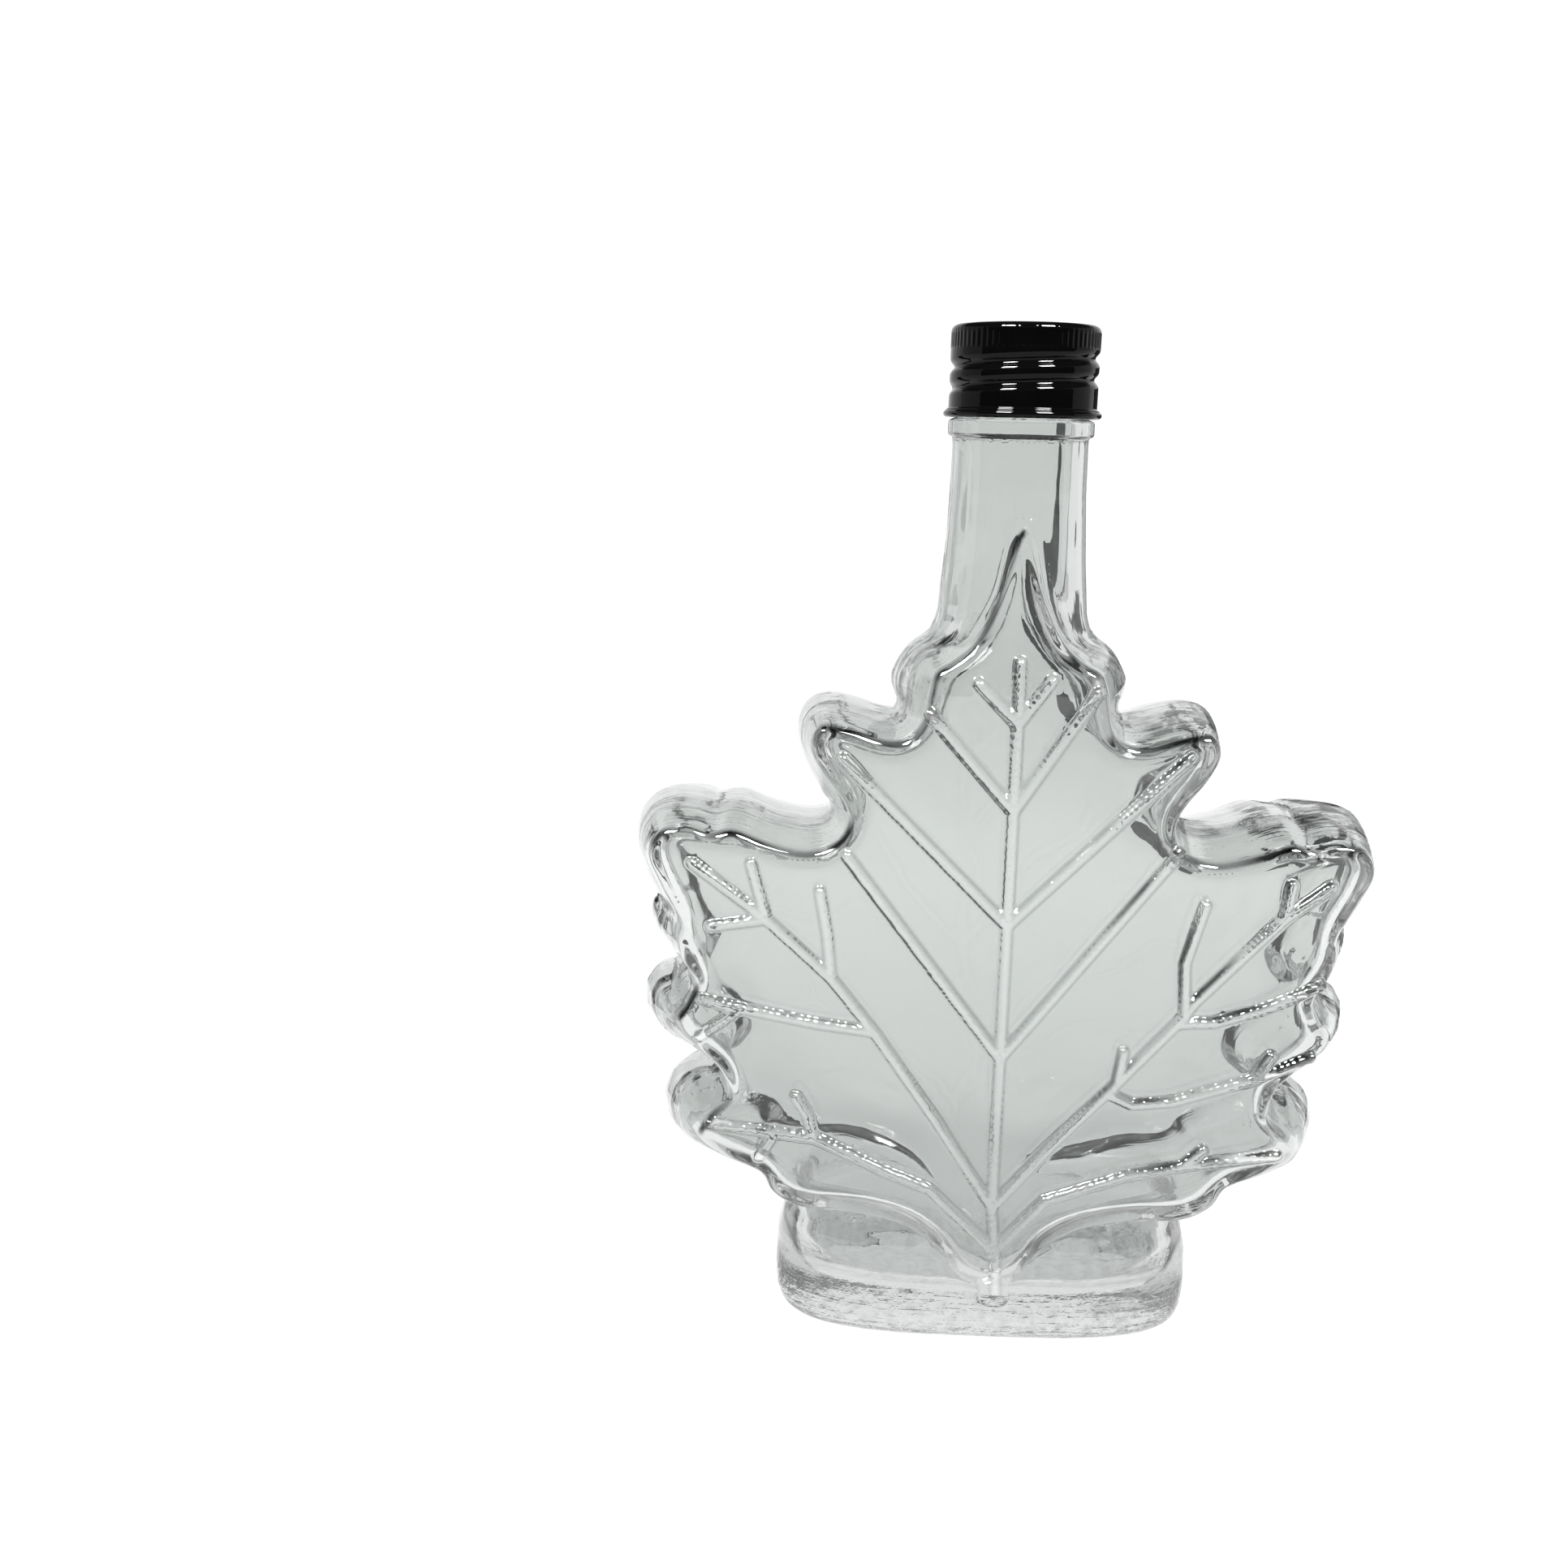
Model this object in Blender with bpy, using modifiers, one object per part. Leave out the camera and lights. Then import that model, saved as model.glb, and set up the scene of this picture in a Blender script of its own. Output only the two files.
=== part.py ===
"""Maple leaf bottle: a flat bottle of clear glass, blown in the form of a maple leaf, with a screw cap.

The bottle stands on its foot. Its origin is the middle of the underside, +Z is up, and the front faces -Y.
"""

import math

import bmesh
import bpy
from mathutils import Vector

MM = 0.001

# Driving dimensions, in metres
CAP_TOP = 204.05 * MM
CAP_HEIGHT = 17.2 * MM
CAP_RADIUS = 14.15 * MM
BEAD_RADIUS = 15.1 * MM
CAP_WALL = 0.9 * MM
LEAF_HALF_DEPTH = 20.5 * MM
CAVITY_HALF_DEPTH = 17.2 * MM
FOOT_HALF_WIDTH = 43.5 * MM
FOOT_HALF_DEPTH = 19.0 * MM
FOOT_SIDE_WALL = 5.0 * MM
FOOT_FRONT_WALL = 4.5 * MM
VEIN_RADIUS = 1.2 * MM
VEIN_THINNING = 0.013
VEIN_LIFT = 0.12 * MM

# Both faces slope in towards the neck: full depth at the start, the end depth at the leaf's tip
SLOPE_START = 139.0 * MM
SLOPE_END = 161.0 * MM
SLOPE_END_DEPTH = 15.3 * MM

# Exponents of the foot's plan: 1 is an oval, and smaller ones have fuller corners
PLAN_WIDTH_POWER = 0.62
PLAN_DEPTH_POWER = 0.74

# Fineness of the round shapes
TURNED_SIDES = 32
CAP_SIDES = 40
FOOT_SIDES = 48
FOOT_CAVITY_SIDES = 36
LEAF_SPANS = 3
CAVITY_SPANS = 3
VEIN_ROUNDNESS = 1

# Shares of a side by which the neck and the bore are turned, so that no edges of the two fall together
NECK_FIRST_SIDE = 0.3
BORE_FIRST_SIDE = 0.8

GLASS_COLOUR = (0.93, 0.95, 0.94)
LACQUER_COLOUR = (0.005, 0.005, 0.006)

MERGE_DISTANCE = 0.00001
SMOOTH_ANGLE = math.radians(35)

# Outer side of the neck in millimetres, from the mouth down into the leaf: radius, height
NECK_PROFILE = (
    (0.0, 202.8),
    (11.4, 202.8),
    (12.1, 201.9),
    (12.1, 187.0),
    (13.8, 186.4),
    (14.4, 185.7),
    (14.3, 184.8),
    (13.2, 183.6),
    (12.9, 182.4),
    (13.1, 173.0),
    (13.8, 160.0),
    (14.4, 149.5),
    (15.1, 144.5),
    (15.4, 140.0),
    (14.6, 133.0),
    (0.0, 130.0),
)

# The way in through the mouth and the neck, down into the leaf's cavity
BORE_PROFILE = (
    (0.0, 204.8),
    (9.8, 204.8),
    (9.8, 202.5),
    (9.4, 201.6),
    (9.4, 172.0),
    (10.2, 158.0),
    (11.4, 147.0),
    (12.0, 139.0),
    (9.4, 130.0),
    (0.0, 126.0),
)

# The foot and its cavity in millimetres: height, and how far the plan is drawn in there
FOOT_LEVELS = (
    (0.0, 5.2),
    (0.7, 2.8),
    (2.4, 1.1),
    (5.0, 0.2),
    (9.0, 0.0),
    (17.0, 0.3),
    (22.5, 1.6),
    (29.0, 5.5),
    (36.0, 11.0),
)
FOOT_CAVITY_LEVELS = (
    (6.5, 6.0),
    (7.7, 3.0),
    (10.0, 1.0),
    (13.5, 0.0),
    (22.0, 0.6),
    (30.0, 4.0),
    (38.0, 9.0),
)

# Outside of the cap: radius less than the cap's own, and height below its top
CAP_OUTSIDE = (
    (1.3, 0.0),
    (0.35, 0.35),
    (0.0, 1.2),
    (0.0, 4.6),
    (0.75, 6.0),
    (0.75, 6.9),
    (0.0, 8.1),
    (0.65, 9.7),
    (0.0, 11.2),
    (0.0, 15.0),
)

# The curled bead at the cap's lower edge: radius less than the bead's own, and height above the edge
CAP_BEAD = (
    (0.3, 1.4),
    (0.0, 0.8),
    (0.3, 0.2),
    (0.9, 0.0),
)

# Inside of the cap, upwards: radius less than the plain wall's, and height below the top
CAP_INSIDE = (
    (0.0, 17.2),
    (0.0, 15.7),
    (0.7, 10.6),
    (0.7, 5.2),
    (0.3, 4.4),
)

# Right half of the leaf's front edge, from the tip on the neck down to the stem, in millimetres:
# x, z, and how far the parting line at the middle of the side stands outside the edge
LEAF_EDGE = (
    (0.0, 161.0, 0.3),
    (4.5, 152.0, 1.0),
    (8.3, 145.8, 3.0),
    (12.3, 142.0, 5.5),
    (15.4, 139.8, 7.0),
    (16.4, 135.8, 7.0),
    (17.6, 130.6, 5.0),
    (20.6, 127.2, 3.5),
    (25.0, 126.8, 3.5),
    (31.0, 128.6, 3.5),
    (36.6, 129.2, 3.5),
    (38.2, 125.6, 3.5),
    (36.0, 120.8, 4.5),
    (32.2, 115.8, 5.5),
    (30.8, 111.0, 4.5),
    (33.2, 106.6, 3.5),
    (39.0, 104.6, 4.0),
    (47.0, 106.2, 4.0),
    (53.0, 108.4, 4.0),
    (57.4, 107.8, 3.5),
    (62.0, 109.0, 3.5),
    (67.2, 107.8, 4.5),
    (69.0, 103.4, 5.0),
    (66.6, 97.6, 6.0),
    (63.4, 91.0, 6.0),
    (63.4, 86.6, 7.5),
    (62.2, 82.0, 5.5),
    (60.0, 77.6, 3.5),
    (61.6, 73.2, 5.0),
    (63.4, 69.2, 9.0),
    (58.8, 64.0, 8.0),
    (54.4, 59.0, 4.5),
    (53.4, 53.6, 4.0),
    (57.0, 49.6, 7.5),
    (59.0, 45.0, 9.0),
    (53.0, 41.0, 7.5),
    (46.4, 37.8, 5.0),
    (43.6, 33.4, 3.5),
    (38.0, 30.4, 2.0),
    (28.0, 29.6, 1.5),
    (18.5, 27.6, 1.0),
    (11.0, 23.2, 0.5),
    (6.0, 17.2, 0.3),
    (0.0, 14.0, 0.3),
)

# The same for the cavity, a softer leaf without the small teeth
CAVITY_EDGE = (
    (0.0, 147.0, 0.5),
    (6.5, 143.0, 2.0),
    (10.8, 137.5, 5.0),
    (12.5, 131.0, 5.0),
    (16.2, 125.2, 4.0),
    (22.5, 123.2, 3.5),
    (29.0, 124.2, 3.5),
    (32.2, 121.6, 3.5),
    (29.2, 115.4, 4.5),
    (26.4, 108.5, 4.0),
    (29.5, 103.0, 3.0),
    (38.0, 100.8, 3.0),
    (49.0, 102.6, 3.5),
    (58.5, 103.2, 4.0),
    (62.4, 99.8, 4.5),
    (60.0, 93.5, 5.5),
    (57.8, 87.0, 6.5),
    (55.8, 79.0, 6.5),
    (55.8, 72.0, 7.5),
    (53.8, 66.0, 7.0),
    (49.8, 60.0, 5.0),
    (49.0, 53.0, 5.0),
    (50.8, 48.2, 7.0),
    (48.0, 43.4, 6.5),
    (42.0, 40.0, 4.5),
    (34.0, 35.6, 2.0),
    (22.0, 32.5, 1.5),
    (10.0, 29.0, 1.0),
    (0.0, 22.0, 0.5),
)

# From the front edge to the parting line: share of the way out to it, extra way out, share of the half depth
EDGE_ROUNDING = (
    (0.0, -1.7 * MM, 1.0),
    (0.04, -0.6 * MM, 0.97),
    (0.12, 0.1 * MM, 0.89),
    (1.0, 0.0, 0.0),
)
CAVITY_ROUNDING = (
    (0.0, -1.5 * MM, 1.0),
    (0.2, -0.6 * MM, 0.92),
    (0.6, 0.0, 0.66),
    (1.0, 0.0, 0.0),
)

# Veins on the front face: x and z along each, in millimetres
VEINS = (
    ((0.0, 142.5), (0.0, 91.0), (0.0, 64.0), (0.0, 32.0), (1.2, 21.0), (1.5, 13.5)),
    ((-7.6, 138.4), (0.0, 130.8), (6.0, 139.3)),
    ((-16.6, 132.5), (0.0, 114.0), (14.6, 137.2)),
    ((-32.6, 123.5), (0.0, 91.4), (32.8, 125.4)),
    ((-31.2, 104.4), (0.0, 64.2), (32.2, 107.2)),
    ((0.0, 32.4), (-12.0, 50.8), (-24.8, 68.9), (-33.6, 79.8), (-46.4, 91.4), (-61.0, 102.3)),
    ((-24.8, 68.9), (-36.4, 70.3), (-51.2, 73.0), (-58.4, 74.6)),
    ((-51.2, 73.0), (-59.2, 66.8)),
    ((-33.6, 79.8), (-34.6, 88.8), (-36.2, 97.2)),
    ((-49.6, 102.4), (-46.4, 91.4), (-57.2, 89.6)),
    ((0.0, 32.4), (10.4, 45.4), (21.6, 58.0), (34.0, 72.6), (37.0, 77.0), (52.8, 94.6), (61.0, 101.0)),
    ((22.0, 57.4), (26.4, 55.4), (34.0, 56.2), (49.6, 61.4), (62.2, 67.0)),
    ((49.6, 61.4), (52.6, 66.4)),
    ((34.0, 72.6), (41.0, 73.0), (50.2, 76.0), (62.8, 82.0)),
    ((35.2, 75.4), (34.6, 85.0), (37.6, 96.6)),
    ((52.8, 94.6), (53.6, 101.2)),
    ((23.2, 60.6), (24.0, 66.4)),
    ((0.6, 23.0), (-12.6, 35.8), (-21.8, 39.4), (-35.8, 46.2), (-57.0, 48.4)),
    ((-36.4, 46.2), (-37.4, 50.8), (-40.0, 54.8)),
    ((-43.8, 47.0), (-47.0, 41.6)),
    ((0.3, 22.2), (10.4, 34.2), (26.0, 40.0), (36.0, 42.4), (55.6, 45.6)),
    ((37.0, 42.6), (41.0, 46.2)),
)

# The cut end of the leaf's stem on the foot
STEM_MIDDLE = (1.3 * MM, -20.2 * MM, 13.4 * MM)
STEM_SIZE = (7.0 * MM, 3.4 * MM, 7.2 * MM)


def clear_scene():
    for thing in list(bpy.data.objects):
        bpy.data.objects.remove(thing, do_unlink=True)


def new_collection(name):
    collection = bpy.data.collections.new(name)
    bpy.context.scene.collection.children.link(collection)
    return collection


def mesh_object(name, bm, collection):
    """A closed mesh as an object, with its faces turned outwards."""
    bmesh.ops.recalc_face_normals(bm, faces=bm.faces)
    mesh = bpy.data.meshes.new(name)
    bm.to_mesh(mesh)
    bm.free()
    thing = bpy.data.objects.new(name, mesh)
    collection.objects.link(thing)
    return thing


def principled(name, colour, roughness, transmission=0.0, ior=1.5):
    material = bpy.data.materials.new(name)
    material.use_nodes = True
    shader = material.node_tree.nodes["Principled BSDF"]
    shader.inputs["Base Color"].default_value = (*colour, 1.0)
    shader.inputs["Roughness"].default_value = roughness
    shader.inputs["Transmission Weight"].default_value = transmission
    shader.inputs["IOR"].default_value = ior
    return material


def blend(before, start, end, after, t):
    """A point on the smooth curve from start to end, between their neighbours."""
    return tuple(
        0.5 * (2 * b + (c - a) * t + (2 * a - 5 * b + 4 * c - d) * t * t + (3 * b - a - 3 * c + d) * t ** 3)
        for a, b, c, d in zip(before, start, end, after)
    )


def whole_edge(half, spans):
    """The whole front edge as (x, z, way out) points, from its right half."""
    right = [tuple(value * MM for value in row) for row in half]
    left = [(-x, z, out) for x, z, out in reversed(right[1:-1])]
    rows = right + left
    points = []
    for i in range(len(rows)):
        neighbours = [rows[(i + step) % len(rows)] for step in (-1, 0, 1, 2)]
        points += [blend(*neighbours, span / spans) for span in range(spans)]
    return points


def moved_out(points, share, extra):
    """The edge moved along its outward normals, by a share of each point's way out and an extra way."""
    moved = []
    for i, (x, z, out) in enumerate(points):
        ahead = points[(i + 1) % len(points)]
        behind = points[i - 1]
        along = Vector((ahead[0] - behind[0], ahead[1] - behind[1])).normalized()
        way = share * out + extra
        moved.append((x - along.y * way, z + along.x * way))
    return moved


def leaf_solid(name, collection, half, spans, rounding, half_depth):
    """A leaf-shaped slab: rings from the front face over the parting line to the back face."""
    points = whole_edge(half, spans)
    layers = list(rounding) + [(share, extra, -depth) for share, extra, depth in reversed(rounding[:-1])]
    bm = bmesh.new()
    rings = []
    for share, extra, depth in layers:
        outline = moved_out(points, share, extra)
        rings.append([bm.verts.new((x, -depth * half_depth, z)) for x, z in outline])
    count = len(points)
    for front, back in zip(rings, rings[1:]):
        for i in range(count):
            j = (i + 1) % count
            bm.faces.new((front[i], front[j], back[j], back[i]))
    bm.faces.new(rings[0])
    bm.faces.new(rings[-1])
    bm.normal_update()
    bmesh.ops.triangulate(bm, faces=[face for face in bm.faces if len(face.verts) > 4])
    slope_to_neck(bm)
    return mesh_object(name, bm, collection)


def slope_to_neck(bm):
    """Above the slope's start the slab thins evenly towards the neck."""
    everything = bm.verts[:] + bm.edges[:] + bm.faces[:]
    bmesh.ops.bisect_plane(bm, geom=everything, plane_co=(0, 0, SLOPE_START), plane_no=(0, 0, 1))
    end_share = SLOPE_END_DEPTH / LEAF_HALF_DEPTH
    for vert in bm.verts:
        way = (vert.co.z - SLOPE_START) / (SLOPE_END - SLOPE_START)
        if way > 0:
            vert.co.y *= 1 - (1 - end_share) * way


def rounded_plan(half_width, half_depth, sides):
    """Points round the foot's plan, an oval with fuller corners."""
    points = []
    for i in range(sides):
        angle = 2 * math.pi * (i + 0.5) / sides
        x = abs(math.cos(angle)) ** PLAN_WIDTH_POWER * math.copysign(half_width, math.cos(angle))
        y = abs(math.sin(angle)) ** PLAN_DEPTH_POWER * math.copysign(half_depth, math.sin(angle))
        points.append((x, y))
    return points


def plan_solid(name, collection, half_width, half_depth, levels, sides):
    """A lofted block on the foot's plan, drawn in at each level."""
    bm = bmesh.new()
    rings = []
    for height, drawn_in in levels:
        plan = rounded_plan(half_width - drawn_in * MM, half_depth - drawn_in * MM, sides)
        rings.append([bm.verts.new((x, y, height * MM)) for x, y in plan])
    for lower, upper in zip(rings, rings[1:]):
        for i in range(sides):
            j = (i + 1) % sides
            bm.faces.new((lower[i], lower[j], upper[j], upper[i]))
    bm.faces.new(rings[0])
    bm.faces.new(rings[-1])
    return mesh_object(name, bm, collection)


def turned(name, collection, profile, sides, first_side=0.0):
    """A turned solid from (radius, height) points, top to bottom down the outer side.

    Its first side starts a share of a side's width round from +X, so that no two solids share a line.
    """
    bm = bmesh.new()
    verts = [bm.verts.new((radius, 0.0, height)) for radius, height in profile]
    for upper, lower in zip(verts, verts[1:]):
        bm.edges.new((upper, lower))
    mesh = bpy.data.meshes.new(name)
    bm.to_mesh(mesh)
    bm.free()
    thing = bpy.data.objects.new(name, mesh)
    collection.objects.link(thing)
    screw = thing.modifiers.new("turn", "SCREW")
    screw.steps = sides
    screw.render_steps = sides
    screw.use_merge_vertices = True
    screw.merge_threshold = MERGE_DISTANCE
    thing.rotation_euler.z = 2 * math.pi * first_side / sides
    return thing


def tube(name, collection, points, radius):
    """A round bar along the points, as a closed mesh."""
    curve = bpy.data.curves.new(name, "CURVE")
    curve.dimensions = "3D"
    curve.bevel_depth = radius
    curve.bevel_resolution = VEIN_ROUNDNESS
    curve.use_fill_caps = True
    spline = curve.splines.new("POLY")
    spline.points.add(len(points) - 1)
    for place, point in zip(spline.points, points):
        place.co = (*point, 1.0)
    guide = bpy.data.objects.new(name + "_guide", curve)
    collection.objects.link(guide)
    bpy.context.view_layer.update()
    evaluated = guide.evaluated_get(bpy.context.evaluated_depsgraph_get())
    mesh = bpy.data.meshes.new_from_object(evaluated)
    bm = bmesh.new()
    bm.from_mesh(mesh)
    bmesh.ops.remove_doubles(bm, verts=bm.verts, dist=MERGE_DISTANCE)
    bmesh.ops.recalc_face_normals(bm, faces=bm.faces)
    bm.to_mesh(mesh)
    bm.free()
    mesh.name = name
    thing = bpy.data.objects.new(name, mesh)
    thing.matrix_world = guide.matrix_world
    collection.objects.link(thing)
    bpy.data.objects.remove(guide, do_unlink=True)
    return thing


def vein_height(z):
    """How far the face lies from the middle plane at a height."""
    way = max(0.0, (z - SLOPE_START) / (SLOPE_END - SLOPE_START))
    return LEAF_HALF_DEPTH - (LEAF_HALF_DEPTH - SLOPE_END_DEPTH) * way


def add_veins(collection):
    """Veins stand half out of the front face; the back is plain."""
    for number, vein in enumerate(VEINS):
        points = [(x * MM, -vein_height(z * MM) - VEIN_LIFT, z * MM) for x, z in vein]
        tube(f"vein_{number}", collection, points, VEIN_RADIUS * (1 - VEIN_THINNING * number))


def add_stem(collection):
    """The cut end of the leaf's stem, a small block on the front of the foot."""
    bm = bmesh.new()
    bmesh.ops.create_cube(bm, size=1.0)
    bmesh.ops.scale(bm, vec=STEM_SIZE, verts=bm.verts)
    bmesh.ops.translate(bm, vec=STEM_MIDDLE, verts=bm.verts)
    mesh_object("stem", bm, collection)


def join_all(target, collection, operation, solver="EXACT"):
    """Joins or cuts with every object of the collection at once, then removes them."""
    boolean = target.modifiers.new(operation.lower(), "BOOLEAN")
    boolean.operation = operation
    boolean.operand_type = "COLLECTION"
    boolean.collection = collection
    boolean.solver = solver
    bpy.context.view_layer.objects.active = target
    with bpy.context.temp_override(object=target, active_object=target):
        bpy.ops.object.modifier_apply(modifier=boolean.name)
    for thing in list(collection.objects):
        bpy.data.objects.remove(thing, do_unlink=True)


def in_metres(rows):
    return [tuple(value * MM for value in row) for row in rows]


def make_bottle(parts, fused, cut):
    bottle = leaf_solid("bottle", parts, LEAF_EDGE, LEAF_SPANS, EDGE_ROUNDING, LEAF_HALF_DEPTH)
    plan_solid("foot", fused, FOOT_HALF_WIDTH, FOOT_HALF_DEPTH, FOOT_LEVELS, FOOT_SIDES)
    turned("neck", fused, in_metres(NECK_PROFILE), TURNED_SIDES, NECK_FIRST_SIDE)
    add_stem(fused)
    join_all(bottle, fused, "UNION")

    leaf_solid("cavity", cut, CAVITY_EDGE, CAVITY_SPANS, CAVITY_ROUNDING, CAVITY_HALF_DEPTH)
    half_width = FOOT_HALF_WIDTH - FOOT_SIDE_WALL
    half_depth = FOOT_HALF_DEPTH - FOOT_FRONT_WALL
    plan_solid("foot_cavity", cut, half_width, half_depth, FOOT_CAVITY_LEVELS, FOOT_CAVITY_SIDES)
    turned("bore", cut, in_metres(BORE_PROFILE), TURNED_SIDES, BORE_FIRST_SIDE)
    for cutter in cut.objects:
        cutter.display_type = "WIRE"
        cutter.hide_render = True
    join_all(bottle, cut, "DIFFERENCE")

    add_veins(fused)
    join_all(bottle, fused, "UNION", solver="MANIFOLD")
    bottle.data.materials.clear()
    bottle.data.materials.append(principled("clear_glass", GLASS_COLOUR, 0.02, transmission=1.0, ior=1.52))


def cap_profile():
    """The drawn metal cap: flat top, knurled band, two thread grooves, curled bead, and its inside."""
    wall = CAP_RADIUS - CAP_WALL
    lower_edge = CAP_TOP - CAP_HEIGHT
    outside = [(CAP_RADIUS - less * MM, CAP_TOP - below * MM) for less, below in CAP_OUTSIDE]
    bead = [(BEAD_RADIUS - less * MM, lower_edge + above * MM) for less, above in CAP_BEAD]
    inside = [(wall - less * MM, CAP_TOP - below * MM) for less, below in CAP_INSIDE]
    ceiling = [(inside[-1][0], CAP_TOP - CAP_WALL), (0.0, CAP_TOP - CAP_WALL)]
    return [(0.0, CAP_TOP)] + outside + bead + inside + ceiling


def make_cap(parts):
    cap = turned("cap", parts, cap_profile(), CAP_SIDES)
    cap.data.materials.append(principled("black_lacquer", LACQUER_COLOUR, 0.12))


def main():
    clear_scene()
    parts = new_collection("maple_leaf_bottle")
    fused = new_collection("fused_shapes")
    cut = new_collection("cutters")
    make_bottle(parts, fused, cut)
    make_cap(parts)
    for thing in parts.objects:
        thing.data.shade_smooth()
        thing.data.set_sharp_from_angle(angle=SMOOTH_ANGLE)


main()
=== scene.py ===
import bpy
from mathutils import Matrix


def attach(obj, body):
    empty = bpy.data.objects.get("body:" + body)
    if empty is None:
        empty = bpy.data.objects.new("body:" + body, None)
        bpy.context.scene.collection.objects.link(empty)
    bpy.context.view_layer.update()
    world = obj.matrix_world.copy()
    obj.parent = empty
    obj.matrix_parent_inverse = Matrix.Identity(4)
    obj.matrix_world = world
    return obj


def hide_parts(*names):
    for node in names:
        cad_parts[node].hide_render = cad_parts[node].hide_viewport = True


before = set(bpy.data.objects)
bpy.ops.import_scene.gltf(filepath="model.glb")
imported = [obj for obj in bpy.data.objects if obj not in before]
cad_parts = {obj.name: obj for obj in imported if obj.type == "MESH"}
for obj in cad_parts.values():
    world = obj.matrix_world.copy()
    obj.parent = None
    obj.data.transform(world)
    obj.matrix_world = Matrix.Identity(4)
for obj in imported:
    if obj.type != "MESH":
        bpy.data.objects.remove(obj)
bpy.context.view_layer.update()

import copy
import math

import bmesh
import bpy
import numpy as np
from mathutils import Matrix, Vector

MM = 0.001

# Camera, worked out for a picture of 1932 x 1932
PICTURE = 1932
FOCAL_PIXELS = 1958.35
CAMERA_PLACE = (-35.66, -314.40, 184.83)
CAMERA_TURN, CAMERA_PITCH, CAMERA_ROLL = -1.540, 12.753, -1.247

# Leaf: right half of the front face's edge, x and z in millimetres, and how far the mould's parting line
# at the middle of the side stands outside it
LEAF_EDGE = (
    (0.0, 166.5, 0.3), (4.5, 153.4, 1.0), (8.3, 145.8, 2.2), (12.3, 142.0, 3.8), (15.4, 139.8, 5.6),
    (16.4, 135.8, 7.0), (17.6, 130.6, 5.0), (20.6, 127.2, 3.5), (25.0, 126.8, 3.5), (31.0, 128.6, 3.5),
    (36.6, 129.2, 3.5), (38.2, 125.6, 3.5), (36.0, 120.8, 4.5), (32.2, 115.8, 5.5), (30.8, 111.0, 4.5),
    (33.2, 106.6, 3.5), (39.0, 104.6, 4.0), (47.0, 106.2, 4.0), (53.0, 108.4, 4.0), (57.4, 107.8, 3.5),
    (62.0, 109.0, 3.5), (67.2, 107.8, 4.5), (69.0, 103.4, 5.0), (66.6, 97.6, 6.0), (63.4, 91.0, 6.0),
    (63.4, 86.6, 7.5), (62.2, 82.0, 5.5), (60.0, 77.6, 3.5), (61.6, 73.2, 5.0), (63.4, 69.2, 9.0),
    (58.8, 64.0, 8.0), (54.4, 59.0, 4.5), (53.4, 53.6, 4.0), (57.0, 49.6, 7.5), (59.0, 45.0, 9.0),
    (53.0, 41.0, 7.5), (46.4, 37.8, 5.0), (43.6, 33.4, 3.5), (38.0, 30.4, 2.0), (28.0, 29.6, 1.5),
    (18.5, 27.6, 1.0), (11.0, 23.2, 0.5), (6.0, 17.2, 0.3), (0.0, 14.0, 0.3),
)

# The hollow inside it: wall at the face's edge and at the parting line, and how far its outline is softened
EDGE_WALL, SIDE_WALL, HOLLOW_SOFTNESS = 2.0, 2.8, 2.2

# Veins on the front face, x and z in millimetres; the back is plain
VEINS = (
    ((0.0, 142.5), (0.0, 91.0), (0.0, 64.0), (0.0, 32.0), (1.2, 21.0), (1.5, 13.5)),
    ((-7.6, 138.4), (0.0, 130.8), (6.0, 139.3)),
    ((-16.6, 132.5), (0.0, 114.0), (14.6, 137.2)),
    ((-32.6, 123.5), (0.0, 91.4), (32.8, 125.4)),
    ((-31.2, 104.4), (0.0, 64.2), (32.2, 107.2)),
    ((0.0, 32.4), (-12.0, 50.8), (-24.8, 68.9), (-33.6, 79.8), (-46.4, 91.4), (-61.0, 102.3)),
    ((-24.8, 68.9), (-36.4, 70.3), (-51.2, 73.0), (-58.4, 74.6)),
    ((-51.2, 73.0), (-59.2, 66.8)),
    ((-33.6, 79.8), (-34.6, 88.8), (-36.2, 97.2)),
    ((-49.6, 102.4), (-46.4, 91.4), (-57.2, 89.6)),
    ((0.0, 32.4), (10.4, 45.4), (21.6, 58.0), (34.0, 72.6), (37.0, 77.0), (52.8, 94.6), (61.0, 101.0)),
    ((22.0, 57.4), (26.4, 55.4), (34.0, 56.2), (49.6, 61.4), (60.4, 66.4)),
    ((49.6, 61.4), (52.6, 66.4)),
    ((34.0, 72.6), (41.0, 73.0), (50.2, 76.0), (61.0, 81.2)),
    ((35.2, 75.4), (34.6, 85.0), (37.6, 96.6)),
    ((52.8, 94.6), (53.6, 101.2)),
    ((23.2, 60.6), (24.0, 66.4)),
    ((0.6, 23.0), (-12.6, 35.8), (-21.8, 39.4), (-35.8, 46.2), (-57.0, 48.4)),
    ((-36.4, 46.2), (-37.4, 50.8), (-40.0, 54.8)),
    ((-43.8, 47.0), (-47.0, 41.6)),
    ((0.3, 22.2), (10.4, 34.2), (26.0, 40.0), (36.0, 42.4), (55.6, 45.6)),
    ((37.0, 42.6), (41.0, 46.2)),
)
VEIN_RADIUS = 1.15

LEAF_DEPTH, HOLLOW_DEPTH = 20.4, 17.2
SLOPE_START, SLOPE_END, SLOPE_SHARE = 139.0, 168.0, 13.8 / 20.5
FOOT_WIDTH, FOOT_DEPTH = 43.5, 19.0
FOOT_HOLLOW_WIDTH, FOOT_HOLLOW_DEPTH = 38.5, 14.5
PLAN_POWERS = (0.62, 0.74)
MOUTH_HEIGHT = 202.8
NECK_FRONT = 13.9
STEM_MIDDLE, STEM_HALF = (1.3, 13.4), (3.0, 3.1)
STEM_OUT, STEM_THICKNESS = 20.2, 3.4

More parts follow.
